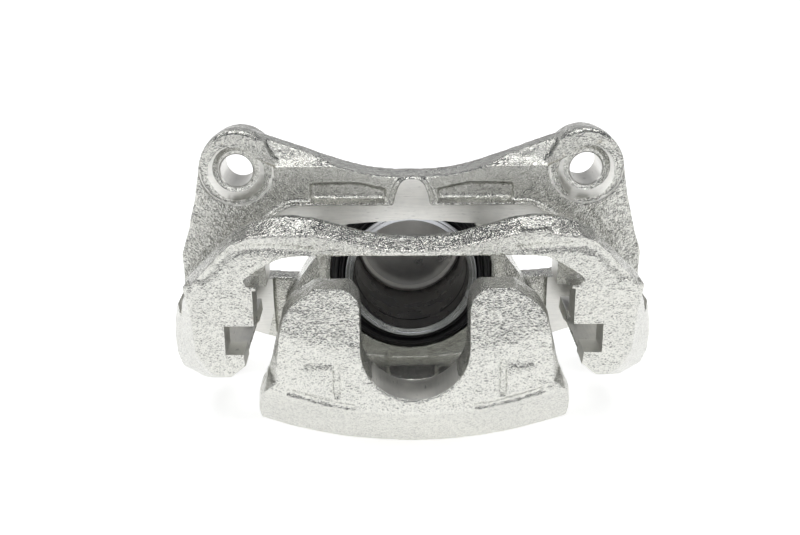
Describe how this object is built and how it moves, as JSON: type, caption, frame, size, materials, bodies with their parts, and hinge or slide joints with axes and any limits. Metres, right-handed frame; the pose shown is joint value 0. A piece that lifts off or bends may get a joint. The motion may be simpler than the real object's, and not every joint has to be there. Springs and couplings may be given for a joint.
{
  "type": "brake caliper with bracket",
  "caption": "Single-piston sliding brake caliper with its mounting bracket, zinc plated, no disc or pads fitted.",
  "frame": {"origin": "middle of the underside: halfway across, halfway along, at the height of the bridge's lowest line", "axes": "+X across the caliper between the guide pins, +Y along the piston towards its closed end (inboard), +Z from the bridge towards the axle"},
  "size_m": [0.195, 0.1486, 0.119],
  "materials": {
    "zinc_casting": "zinc plated over a coarse cast skin, machined faces smooth",
    "piston_steel": "ground outside, turned inside",
    "plated_steel": "zinc plated, turned",
    "black_rubber": "moulded, satin",
    "red_rubber": "moulded, matt",
    "red_plastic": "moulded, satin"
  },
  "bodies": {
    "bracket": {"bracket": "zinc_casting", "guide_pin_boot_left": "black_rubber", "guide_pin_boot_right": "black_rubber"},
    "caliper": {"caliper_housing": "zinc_casting", "piston_seal": "black_rubber", "piston_dust_boot": "black_rubber", "guide_pin_left": "plated_steel", "guide_pin_right": "plated_steel", "guide_pin_bolt_left": "plated_steel", "guide_pin_bolt_right": "plated_steel", "guide_pin_bushing": "red_rubber"},
    "piston": {"piston": "piston_steel"},
    "bleeder": {"bleeder_screw": "plated_steel"},
    "bleeder_cap": {"bleeder_cap": "black_rubber"},
    "inlet_plug": {"inlet_plug": "red_plastic"}
  },
  "joints": [
    {"name": "caliper_slide", "type": "slide", "parent": "bracket", "child": "caliper", "axis": [0, 1, 0], "range_m": [-0.004, 0.013], "deforming": ["guide_pin_boot_left", "guide_pin_boot_right"]},
    {"name": "piston_slide", "type": "slide", "parent": "caliper", "child": "piston", "axis": [0, -1, 0], "range_m": [-0.002, 0.028], "deforming": ["piston_dust_boot"]},
    {"name": "bleeder_turn", "type": "hinge", "parent": "caliper", "child": "bleeder", "pos_m": [0, 0.0568, 0.052], "axis": [0.9063, 0, 0.4226], "range_deg": [0, 180]},
    {"name": "bleeder_cap_pull", "type": "slide", "parent": "bleeder", "child": "bleeder_cap", "axis": [0.9063, 0, 0.4226], "range_m": [0, 0.015]},
    {"name": "inlet_plug_pull", "type": "slide", "parent": "caliper", "child": "inlet_plug", "axis": [0, 1, 0], "range_m": [0, 0.02]}
  ]
}
